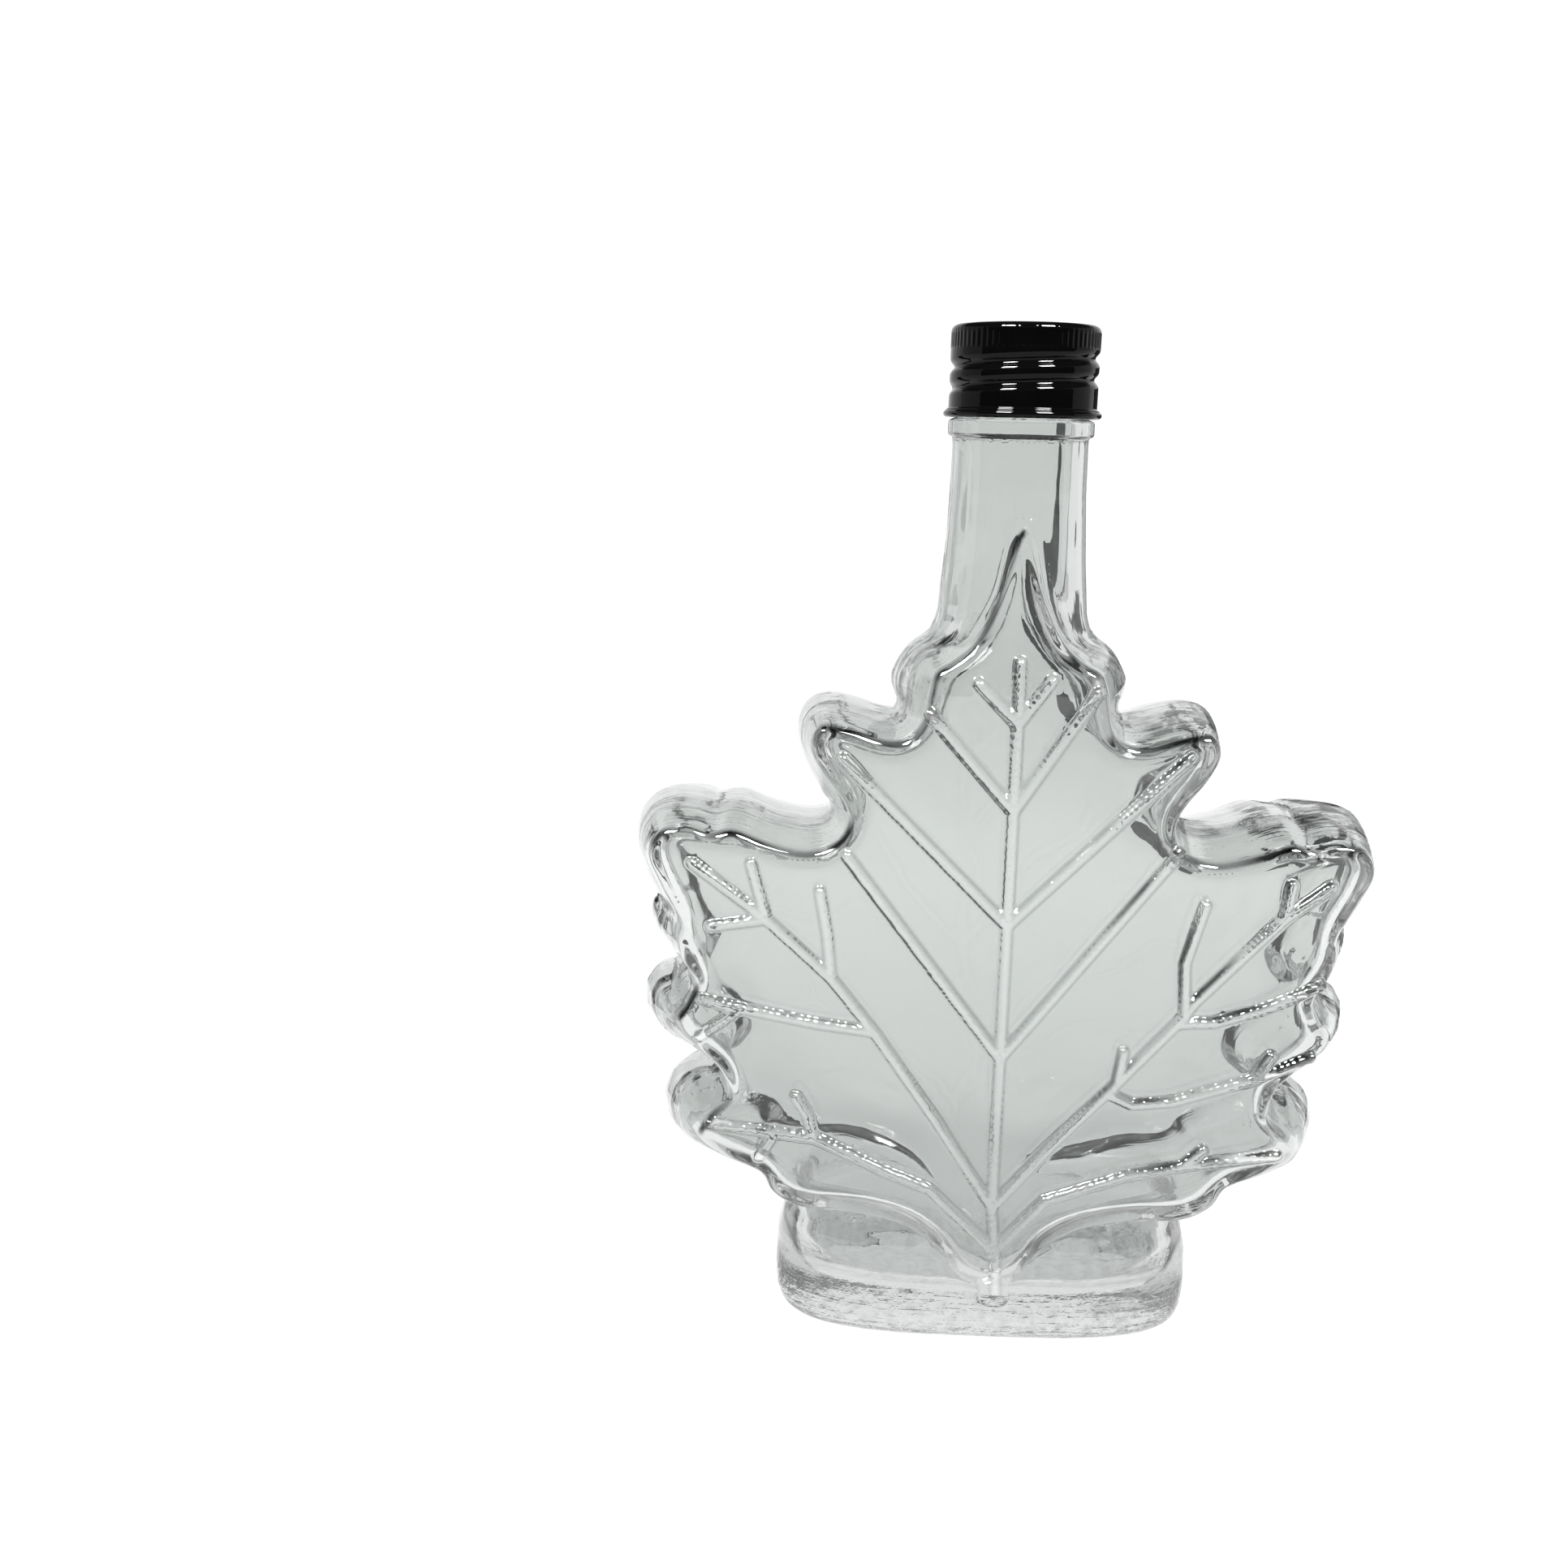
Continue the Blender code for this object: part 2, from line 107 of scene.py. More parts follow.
# Neck and bore, height and radius, upwards
NECK = (
    (124.0, 6.0), (130.0, 13.0), (133.0, 14.9), (140.0, 17.3), (144.5, 16.2), (149.5, 14.7), (160.0, 13.8),
    (173.0, 13.1), (183.2, 12.95), (183.5, 13.75), (183.9, 13.95), (186.4, 13.9), (186.9, 12.3),
    (201.6, 12.1), (202.8, 11.9), (206.0, 11.9),
)
BORE = (
    (120.0, 6.0), (130.0, 9.6), (139.0, 12.0), (147.0, 11.4), (158.0, 10.4), (172.0, 10.0), (201.0, 9.8),
    (202.8, 9.7), (206.0, 9.9),
)

# Foot and its hollow, height and how far the plan is drawn in there
FOOT = (
    (-2.0, 12.0), (0.0, 5.2), (0.7, 2.8), (2.4, 1.1), (5.0, 0.2), (9.0, 0.0), (17.0, 0.3), (22.5, 1.6),
    (29.0, 5.5), (36.0, 11.0), (46.0, 20.0),
)
FOOT_HOLLOW = (
    (5.0, 18.0), (6.5, 12.0), (7.5, 8.0), (9.0, 5.0), (11.0, 2.8), (14.0, 1.0), (18.0, 0.2), (22.0, 0.6),
    (30.0, 4.0), (38.0, 9.0), (48.0, 16.0),
)

GRID = 1.1
MAP_GRID = 0.5
REFINEMENTS = 2


# ---- shapes

def smooth_rows(rows, fineness):
    """Points on the smooth curve through the closed ring of rows."""
    rows = np.array(rows)
    before, start, end, after = (np.roll(rows, -step, axis=0) for step in (-1, 0, 1, 2))
    pieces = []
    for t in np.arange(fineness) / fineness:
        pieces.append(0.5 * (2 * start + (end - before) * t + (2 * before - 5 * start + 4 * end - after) * t * t
                             + (3 * start - before - 3 * end + after) * t ** 3))
    return np.stack(pieces, axis=1).reshape(-1, rows.shape[1])


def both_halves(half):
    return list(half) + [(-x, z, out) for x, z, out in reversed(half[1:-1])]


def edge_and_parting(half):
    """The face's edge and the parting line outside it, as closed rings of x and z."""
    ring = smooth_rows(both_halves(half), 5)
    along = np.roll(ring[:, :2], -1, axis=0) - np.roll(ring[:, :2], 1, axis=0)
    along /= np.linalg.norm(along, axis=1)[:, None]
    outward = np.stack([-along[:, 1], along[:, 0]], axis=1)
    return ring[:, :2], ring[:, :2] + outward * ring[:, 2:3]


def distance_to_lines(points, starts, ends):
    """Distance from each point to the nearest of the straight pieces."""
    nearest = np.full(len(points), 1e9)
    for a, b in zip(starts, ends):
        way = b - a
        from_start = points - a
        share = np.clip(from_start @ way / max(way @ way, 1e-12), 0, 1)
        gap = from_start - share[:, None] * way
        nearest = np.minimum(nearest, np.einsum("ij,ij->i", gap, gap))
    return np.sqrt(nearest)


def inside_ring(points, ring):
    """True for the points inside the closed ring."""
    inside = np.zeros(len(points), bool)
    for a, b in zip(ring, np.roll(ring, -1, axis=0)):
        crosses = (a[1] > points[:, 1]) != (b[1] > points[:, 1])
        rise = b[1] - a[1] if b[1] != a[1] else 1e-9
        inside ^= crosses & (points[:, 0] < a[0] + (points[:, 1] - a[1]) * (b[0] - a[0]) / rise)
    return inside


class Map:
    """A number over a plane, read smoothly anywhere."""

    def __init__(self, low, high, step, reader):
        self.low, self.step = np.array(low), step
        counts = [int(math.ceil((b - a) / step)) + 1 for a, b in zip(low, high)]
        u, v = np.meshgrid(*(a + step * np.arange(n) for a, n in zip(low, counts)), indexing="ij")
        self.values = reader(np.stack([u.ravel(), v.ravel()], axis=1)).reshape(counts)

    def softened(self, reach):
        """The same map, blurred."""
        result = copy.copy(self)
        steps = np.arange(-int(3 * reach / self.step), int(3 * reach / self.step) + 1)
        weights = np.exp(-0.5 * (steps * self.step / reach) ** 2)
        weights /= weights.sum()
        for axis in (0, 1):
            result.values = np.apply_along_axis(
                lambda row: np.convolve(np.pad(row, len(steps) // 2, mode="edge"), weights, mode="valid"), axis, result.values)
        return result

    def __call__(self, u, v):
        s = np.clip((u - self.low[0]) / self.step, 1.001, self.values.shape[0] - 3.001)
        t = np.clip((v - self.low[1]) / self.step, 1.001, self.values.shape[1] - 3.001)
        i, j = s.astype(int), t.astype(int)
        across, up = cubic(s - i), cubic(t - j)
        total = 0.0
        for a in range(4):
            for b in range(4):
                total = total + across[a] * up[b] * self.values[i + a - 1, j + b - 1]
        return total


def cubic(t):
    """Weights of a smooth spline's four nearest values."""
    return ((1 - t) ** 3 / 6, (3 * t ** 3 - 6 * t * t + 4) / 6, (-3 * t ** 3 + 3 * t * t + 3 * t + 1) / 6, t ** 3 / 6)


def ring_map(ring, low, high):
    """Signed distance to a ring, negative inside."""
    def reader(points):
        away = distance_to_lines(points, ring, np.roll(ring, -1, axis=0))
        return np.where(inside_ring(points, ring), -away, away)
    return Map(low, high, MAP_GRID, reader)


def vein_map(low, high):
    """Squared distance to the nearest vein."""
    starts = [np.array(p) for vein in VEINS for p in vein[:-1]]
    ends = [np.array(p) for vein in VEINS for p in vein[1:]]
    return Map(low, high, MAP_GRID, lambda points: distance_to_lines(points, starts, ends) ** 2)


def plan_ring(half_width, half_depth):
    angle = 2 * math.pi * np.arange(160) / 160
    x = np.abs(np.cos(angle)) ** PLAN_POWERS[0] * np.sign(np.cos(angle)) * half_width
    y = np.abs(np.sin(angle)) ** PLAN_POWERS[1] * np.sign(np.sin(angle)) * half_depth
    return np.stack([x, y], axis=1)


def smooth_table(rows, step=0.25, blur=3):
    """A table of heights and sizes, softened into a smooth curve."""
    heights, sizes = zip(*rows)
    fine = np.arange(heights[0], heights[-1] + step, step)
    values = np.interp(fine, heights, sizes)
    for _ in range(blur):
        values = np.convolve(np.pad(values, 1, mode="edge"), (0.25, 0.5, 0.25), mode="valid")
    return lambda height: np.interp(height, fine, values)


def either(a, b, softness):
    """Union of two shapes, with a fillet."""
    mix = np.maximum(softness - np.abs(a - b), 0) / softness
    return np.minimum(a, b) - mix * mix * softness / 4


def common(a, b, softness):
    """What two shapes share, with a rounded edge."""
    return -either(-a, -b, softness)


LOW, HIGH = (-78.0, -4.0), (78.0, 208.0)
LEAF_RING, LEAF_PARTING = edge_and_parting(LEAF_EDGE)
leaf_edge = ring_map(LEAF_RING, LOW, HIGH)
leaf_parting = ring_map(LEAF_PARTING, LOW, HIGH)
hollow_edge = leaf_edge.softened(HOLLOW_SOFTNESS)
hollow_parting = leaf_parting.softened(HOLLOW_SOFTNESS)
veins = vein_map(LOW, HIGH)
foot_plan = ring_map(plan_ring(FOOT_WIDTH, FOOT_DEPTH), (-78.0, -30.0), (78.0, 30.0))
foot_hollow_plan = ring_map(plan_ring(FOOT_HOLLOW_WIDTH, FOOT_HOLLOW_DEPTH), (-78.0, -30.0), (78.0, 30.0))
neck_radius = smooth_table(NECK, 0.2, 1)
bore_radius = smooth_table(BORE, 0.5, 12)
foot_inset = smooth_table(FOOT, 0.2, 4)
foot_hollow_inset = smooth_table(FOOT_HOLLOW, 0.25, 10)


def thinning(z):
    """How the slab thins towards the neck, with a soft start."""
    way = (z - SLOPE_START) / (SLOPE_END - SLOPE_START)
    soft = np.where(way < -0.1, 0.0, np.where(way > 0.1, way, (way + 0.1) ** 2 / 0.4))
    return 1 - (1 - SLOPE_SHARE) * soft


def glass_outside(x, y, z):
    """The bottle's outer form: negative inside it."""
    half = LEAF_DEPTH * np.maximum(thinning(z), 0.2)
    deep = np.abs(y)
    share = np.clip(deep / half, 0, 1) ** 1.3
    side = share * leaf_edge(x, z) + (1 - share) * leaf_parting(x, z)
    slab = common(side, deep - half, 1.8)
    widest = neck_radius(z)
    radius = np.sqrt(x * x + (y * np.maximum(widest / NECK_FRONT, 1)) ** 2 + 1e-6)
    neck = common(radius - widest, z - MOUTH_HEIGHT, 0.8)
    neck = common(neck, 127.0 - z, 2.0)
    foot = common(foot_plan(x, y) + foot_inset(z), -z, 0.8)
    body = either(slab, foot, 2.5)
    body = either(body, neck, 2.2)
    uneven = 0.06 * np.sin(x * 3.1 + 2 * np.sin(z * 0.7)) * np.sin(z * 3.7 + 1.5 * np.sin(x * 0.9))
    vein = np.sqrt(np.maximum(veins(x, z), 0) + (y + half) ** 2 + 1e-6) - VEIN_RADIUS - uneven
    stem_x = np.abs(x - STEM_MIDDLE[0]) - STEM_HALF[0]
    stem_z = np.abs(z - STEM_MIDDLE[1]) - STEM_HALF[1]
    stem = common(common(stem_x, stem_z, 2.0), np.abs(y + STEM_OUT) - STEM_THICKNESS / 2, 1.2)
    body = either(body, stem, 0.8)
    return either(body, vein, 0.6)


def glass_hollow(x, y, z):
    """The hollow in it: negative inside, open at the mouth."""
    half = HOLLOW_DEPTH * np.maximum(thinning(z), 0.2)
    half = half + 0.35 * np.sin(x / 9.0 + 0.6) * np.sin(z / 12.0 + 0.4) + 0.22 * np.sin(x / 4.7 + z / 6.1 + np.sign(y))
    deep = np.abs(y)
    share = np.clip(deep / half, 0, 1) ** 2.3
    side = share * (hollow_edge(x, z) + EDGE_WALL) + (1 - share) * (hollow_parting(x, z) + SIDE_WALL)
    slab = common(side, deep - half, 5.5 + 2.7 * np.tanh(y / 5.0))
    radius = np.sqrt(x * x + y * y + 1e-6)
    bore = common(radius - bore_radius(z), 124.0 - z, 3.0)
    foot = foot_hollow_plan(x, y) + foot_hollow_inset(z) + 0.3 * np.sin(x / 5.0 + 1.0) * np.sin(z / 3.5)
    return either(either(slab, foot, 6.0), bore, 6.0)


def glass(x, y, z):
    return common(glass_outside(x, y, z), -glass_hollow(x, y, z), 0.7)


def wrapped_surface(field, low, high, step):
    """Closed mesh of quads where the field passes zero, as points and faces."""
    counts = [int(math.ceil((b - a) / step)) + 1 for a, b in zip(low, high)]
    axes = [a + step * np.arange(n) for a, n in zip(low, counts)]
    values = np.empty(counts, np.float32)
    u, v = np.meshgrid(axes[0], axes[2], indexing="ij")
    for j, y in enumerate(axes[1]):
        values[:, j, :] = field(u, np.full_like(u, y), v)
    inside = values < 0
    cells = [n - 1 for n in counts]
    corner_count = np.zeros(cells, np.int8)
    offsets = [(i, j, k) for i in (0, 1) for j in (0, 1) for k in (0, 1)]
    for i, j, k in offsets:
        corner_count += inside[i:i + cells[0], j:j + cells[1], k:k + cells[2]]
    active = (corner_count > 0) & (corner_count < 8)
    number = np.full(cells, -1, np.int32)
    where = np.argwhere(active)
    number[active] = np.arange(len(where))
    total, met = np.zeros((len(where), 3)), np.zeros(len(where))
    for i, j, k in offsets:
        for axis in range(3):
            corner = [i, j, k]
            if corner[axis]:
                continue
            other = list(corner)
            other[axis] = 1
            a = values[tuple((where + corner).T)]
            b = values[tuple((where + other).T)]
            cut = (a < 0) != (b < 0)
            share = np.where(cut, a / np.where(cut, a - b, 1), 0)
            place = np.tile(np.array(corner, float), (len(where), 1))
            place[:, axis] = share
            total += place * cut[:, None]
            met += cut
    points = np.array(low) + step * (where + total / met[:, None])
    faces = []
    for axis in range(3):
        a, b = (axis + 1) % 3, (axis + 2) % 3
        first = [slice(1, -1)] * 3
        first[axis] = slice(0, counts[axis] - 1)
        second = list(first)
        second[axis] = slice(1, counts[axis])
        start, end = inside[tuple(first)], inside[tuple(second)]
        edges = np.argwhere(start != end)
        goes_out = start[tuple(edges.T)]
        base = edges.copy()
        base[:, a] += 1
        base[:, b] += 1
        ring = []
        for da, db in ((-1, -1), (0, -1), (0, 0), (-1, 0)):
            cell = base.copy()
            cell[:, a] += da
            cell[:, b] += db
            ring.append(number[tuple(cell.T)])
        quads = np.stack(ring, axis=1)
        quads[~goes_out] = quads[~goes_out][:, ::-1]
        faces.append(quads)
    return points, np.concatenate(faces)


def settled(field, points, rounds=3):
    """Moves the points onto the field's zero."""
    nudge = 0.02
    for _ in range(rounds):
        x, y, z = points.T
        here = field(x, y, z)
        slope = np.stack([
            (field(x + nudge, y, z) - field(x - nudge, y, z)) / (2 * nudge),
            (field(x, y + nudge, z) - field(x, y - nudge, z)) / (2 * nudge),
            (field(x, y, z + nudge) - field(x, y, z - nudge)) / (2 * nudge),
        ], axis=1)
        step = here / np.maximum((slope ** 2).sum(axis=1), 0.05)
        step = np.clip(step, -0.5, 0.5)
        points = points - step[:, None] * slope
    return points


def mesh_piece(name, points, faces):
    mesh = bpy.data.meshes.new(name)
    mesh.from_pydata((points * MM).tolist(), [], faces.tolist())
    mesh.validate()
    mesh.shade_smooth()
    piece = bpy.data.objects.new(name, mesh)
    bpy.context.scene.collection.objects.link(piece)
    return piece


def evened(points, faces, rounds):
    """Each point moved towards the middle of its neighbours."""
    ends = np.concatenate([faces[:, [0, 1]], faces[:, [1, 2]], faces[:, [2, 3]], faces[:, [3, 0]]])
    for _ in range(rounds):
        total = np.zeros_like(points)
        for axis in range(3):
            total[:, axis] = np.bincount(ends[:, 0], points[ends[:, 1], axis], len(points))
        met = np.bincount(ends[:, 0], minlength=len(points))
        points = 0.5 * points + 0.5 * total / met[:, None]
    return points


def needs_detail(x, y, z):
    """Where the front carries veins, the leaf's edge or the stem's end."""
    half = LEAF_DEPTH * np.maximum(thinning(z), 0.2)
    on_front = y < 3.5 - half
    on_edge = (np.abs(leaf_edge(x, z)) < 3.0) & (y < 7.0 - half) & (z > 20)
    stem = (np.abs(x - STEM_MIDDLE[0]) < 5.5) & (z < 20) & (y < -16)
    collar = (z > 182.0) & (z < 188.0) & (x * x + y * y > 11.5 ** 2)
    return (on_front & (veins(x, z) < 2.6 ** 2)) | on_edge | stem | collar


def make_bottle():
    low, high = (-77.0, -24.0, -2.5), (77.0, 24.0, 205.0)
    points, faces = wrapped_surface(glass, low, high, GRID)
    points = evened(points, faces, 2)
    points = settled(glass, points)
    piece = mesh_piece("bottle_glass", points, faces)
    bm = bmesh.new()
    bm.from_mesh(piece.data)
    for _ in range(REFINEMENTS):
        points = np.array([vert.co[:] for vert in bm.verts]) / MM
        wanted = needs_detail(*points.T)
        edges = [edge for edge in bm.edges if wanted[edge.verts[0].index] and wanted[edge.verts[1].index]]
        bmesh.ops.subdivide_edges(bm, edges=edges, cuts=1, use_grid_fill=True)
        bm.verts.index_update()
        points = np.array([vert.co[:] for vert in bm.verts]) / MM
        wanted = needs_detail(*points.T)
        points[wanted] = settled(glass, points[wanted])
        for vert, place in zip(bm.verts, points * MM):
            vert.co = place
    bmesh.ops.triangulate(bm, faces=[face for face in bm.faces if len(face.verts) > 4])
    bm.to_mesh(piece.data)
    bm.free()
    piece.data.shade_smooth()
    store_painted_light(piece.data)
    return piece


def store_painted_light(mesh):
    """Stores painted light on the front: a painted highlight along each vein's top, painted shade along its two feet,
    and painted dark lines along the leaf's front edge and beside the right-hand veins.
    """
    x, y, z = (np.array([vert.co[:] for vert in mesh.vertices]) / MM).T
    half = LEAF_DEPTH * np.maximum(thinning(z), 0.2)
    on_front = np.clip((0.9 - half - y) / 0.5, 0, 1)
    away = np.sqrt(np.maximum(veins(x, z), 0))
    # painted highlight along each vein's top
    vein_highlight_share = on_front * np.clip((0.75 - away) / 0.35, 0, 1)
    # painted shade along both feet of each vein
    foot = on_front * np.clip(1 - np.abs(away - 1.2) / 0.45, 0, 1)
    nudge = 0.3
    edge = leaf_edge(x, z)
    up = (leaf_edge(x, z + nudge) - leaf_edge(x, z - nudge)) / (2 * nudge)
    aside = (leaf_edge(x + nudge, z) - leaf_edge(x - nudge, z)) / (2 * nudge)
    # painted shade: a dark line along the front edge where it faces up or to the left, broken up along it, above 42 mm
    near = np.clip((2.8 - half - y) / 0.6, 0, 1) * np.clip(1.6 - np.abs(edge + 0.3) / 0.5, 0, 1)
    broken = 0.75 + 0.45 * np.sin(0.31 * x + 1.7) * np.sin(0.27 * z + 0.4)
    painted_shade_line = near * np.clip((1.3 * up - 0.55 * aside - 0.25) * 1.3, 0, 1) * np.clip(broken, 0, 1) * (z > 42.0)
    vein_up = veins(x, z + nudge) - veins(x, z - nudge)
    vein_aside = veins(x + nudge, z) - veins(x - nudge, z)
    upper_left = (0.65 * vein_up - 0.75 * vein_aside) / np.maximum(np.hypot(vein_up, vein_aside), 1e-6)
    # painted shade: dark streaks on the upper-left flank of the veins right of x 14 mm
    vein_painted_streak = np.clip(0.35 + 0.9 * np.sin(0.16 * (x + z) + 1.2), 0, 1) * np.clip((x - 14.0) / 12.0, 0, 1)
    painted_shade_line = np.maximum(painted_shade_line, 0.85 * vein_painted_streak * on_front * np.clip(1.4 - np.abs(away - 0.95) / 0.35, 0, 1)
                      * np.clip(1.6 * upper_left - 0.3, 0, 1))
    painted_shade_line = 1 - (1 - painted_shade_line) ** 2
    for name, share in (("vein_top", vein_highlight_share), ("vein_foot", foot), ("edge_line", painted_shade_line)):
        mesh.attributes.new(name, "FLOAT", "POINT").data.foreach_set("value", share.astype(np.float32))


CAP_TOP, CAP_HEIGHT = 204.05, 17.2
CAP_RADIUS, BEAD_RADIUS = 14.15, 15.1
FLUTES, FLUTE_STEPS = 72, 6
THREAD_PITCH = 3.9


def cap_outline():
    """Outside and inside of the cap's sheet: radius, depth below the top, and the shares of flutes and thread."""
    rows = [(0.0, 0.12, 0, 0)]
    rows += [(radius, 0.12 - 0.12 * (radius / 12.0) ** 4, 0, 0) for radius in (2.0, 4.0, 6.0, 8.0, 10.0, 11.5)]
    for turn in np.linspace(90, 0, 8):
        angle = math.radians(turn)
        rows.append((CAP_RADIUS - 1.35 + 1.35 * math.cos(angle), 1.35 - 1.35 * math.sin(angle), 0.25 * math.cos(angle) ** 2, 0))
    for depth in np.arange(1.7, 15.4, 0.22):
        flutes = float(np.clip((depth - 1.3) / 0.5, 0, 1) * np.clip((4.6 - depth) / 0.5, 0, 1))
        rows.append((CAP_RADIUS, depth, max(flutes, 0.0), 1.0))
    rows += [(CAP_RADIUS + 0.15, 15.5, 0, 0.5), (CAP_RADIUS + 0.5, 15.75, 0, 0)]
    for turn in np.linspace(75, -90, 8):
        angle = math.radians(turn)
        rows.append((BEAD_RADIUS - 0.72 + 0.72 * math.cos(angle), CAP_HEIGHT - 0.72 - 0.72 * math.sin(angle), 0, 0))
    inner = CAP_RADIUS - 0.3
    rows += [(inner + 0.1, CAP_HEIGHT - 0.2, 0, 0), (inner, CAP_HEIGHT - 0.8, 0, 0)]
    for depth in np.arange(15.4, 1.7, -0.44):
        rows.append((inner, depth, 0, 1.0))
    rows += [(inner - 0.1, 0.9, 0, 0), (inner - 0.6, 0.42, 0, 0), (6.0, 0.4, 0, 0), (0.0, 0.4, 0, 0)]
    return rows


def thread_depth(angle, depth):
    """How deep the rolled thread is pressed in, at an angle from the front and a depth below the top."""
    pressed = np.zeros_like(angle)
    for turn in (0, -1, -2):
        wound = angle + 2 * math.pi * turn
        middle = 5.9 + THREAD_PITCH * (0.25 - wound / (2 * math.pi))
        start = np.clip((2.6 - wound) / 0.5, 0, 1) * np.clip((wound + 8.4) / 0.6, 0, 1)
        pressed = np.maximum(pressed, start * np.exp(-((depth - middle) / 0.78) ** 2))
    return 0.85 * pressed


def make_cap():
    rows = cap_outline()
    count = FLUTES * FLUTE_STEPS
    angle = 2 * math.pi * np.arange(count) / count - math.pi
    rings = []
    for radius, depth, flutes, thread in rows:
        wave = 0.5 - 0.5 * np.cos(FLUTES * angle)
        out = np.full(count, radius) - flutes * 0.13 * wave ** 1.5
        if thread:
            out = out - thread * thread_depth(angle, np.full(count, depth))
        rings.append(np.stack([out * np.sin(angle), -out * np.cos(angle), np.full(count, CAP_TOP - depth)], axis=1))
    points = [rings[0][:1] * (0, 0, 1)] + rings[1:-1] + [rings[-1][:1] * (0, 0, 1)]
    points = np.concatenate(points)
    faces = []
    last = len(points) - 1
    for i in range(count):
        j = (i + 1) % count
        faces.append((0, 1 + i, 1 + j))
        for ring in range(len(rows) - 3):
            a, b = 1 + ring * count, 1 + (ring + 1) * count
            faces.append((a + i, b + i, b + j, a + j))
        end = 1 + (len(rows) - 3) * count
        faces.append((end + i, last, end + j))
    mesh = bpy.data.meshes.new("cap_shell")
    mesh.from_pydata((points * MM).tolist(), [], faces)
    mesh.validate()
    mesh.shade_smooth()
    piece = bpy.data.objects.new("cap_shell", mesh)
    bpy.context.scene.collection.objects.link(piece)
    return piece


# ---- finishes

FLOOR_GLOW = 1.0
GLASS_DENSITY = 7.0
ROOM_GREY = 0.70
CEILING_START, CEILING_FULL = 0.30, 0.60

# Painted shade: height in metres and how much of the darker tint the glass has there, darkening it low down and round
# the upper lobes
PAINTED_SHADE_BY_HEIGHT = ((0.0, 0.9), (0.05, 0.85), (0.08, 0.35), (0.10, 0.0), (0.12, 0.45), (0.14, 0.4), (0.152, 0.0))


class Wire:
    """A socket that can be used in sums."""

    def __init__(self, finish, socket):
        self.finish, self.socket = finish, socket

    def maths(self, operation, first, second):
        return self.finish.add("ShaderNodeMath", {"operation": operation}, {0: first, 1: second})

    def __add__(self, other):
        return self.maths("ADD", self, other)

    __radd__ = __add__

    def __sub__(self, other):
        return self.maths("SUBTRACT", self, other)

    def __rsub__(self, other):
        return self.maths("SUBTRACT", other, self)

    def __mul__(self, other):
        return self.maths("MULTIPLY", self, other)

    __rmul__ = __mul__


class Nodes:
    """The nodes of a material or of the world."""

    def __init__(self, tree):
        self.tree = tree

    def add(self, kind, settings=None, values=None, output=0):
        """A node with its settings and then its sockets; gives back one of its outputs."""
        node = self.tree.nodes.new(kind)
        for key, value in (settings or {}).items():
            if key == "stops":
                ramp = node.color_ramp
                while len(ramp.elements) < len(value):
                    ramp.elements.new(0.5)
                for stop, (place, colour) in zip(ramp.elements, value):
                    stop.position = place
                    stop.color = colour
            else:
                setattr(node, key, value)
        self.fill(node, values or {})
        return Wire(self, node.outputs[output])

    def fill(self, node, values):
        for key, value in values.items():
            if isinstance(value, Wire):
                self.tree.links.new(value.socket, node.inputs[key])
            else:
                node.inputs[key].default_value = value


class Finish(Nodes):
    """A material and the nodes it is made of."""

    def __init__(self, name):
        self.material = bpy.data.materials.new(name)
        self.material.use_nodes = True
        super().__init__(self.material.node_tree)
        self.shader = self.tree.nodes["Principled BSDF"]

    def place(self):
        """Place on the piece, in metres."""
        return self.add("ShaderNodeTexCoord", output="Object")

    def stretched(self, place, scale):
        return self.add("ShaderNodeVectorMath", {"operation": "MULTIPLY"}, {0: place, 1: scale})

    def noise(self, place, scale, detail=2.0, roughness=0.5):
        return self.add("ShaderNodeTexNoise", values={"Vector": place, "Scale": scale, "Detail": detail,
                                                      "Roughness": roughness})

    def mixed(self, share, first, second):
        """A colour between two others."""
        return self.add("ShaderNodeMix", {"data_type": "RGBA"}, {0: share, 6: first, 7: second}, output=2)

    def bump(self, height, distance, strength=1.0, normal=None):
        values = {"Height": height, "Distance": distance, "Strength": strength}
        if normal is not None:
            values["Normal"] = normal
        return self.add("ShaderNodeBump", values=values)


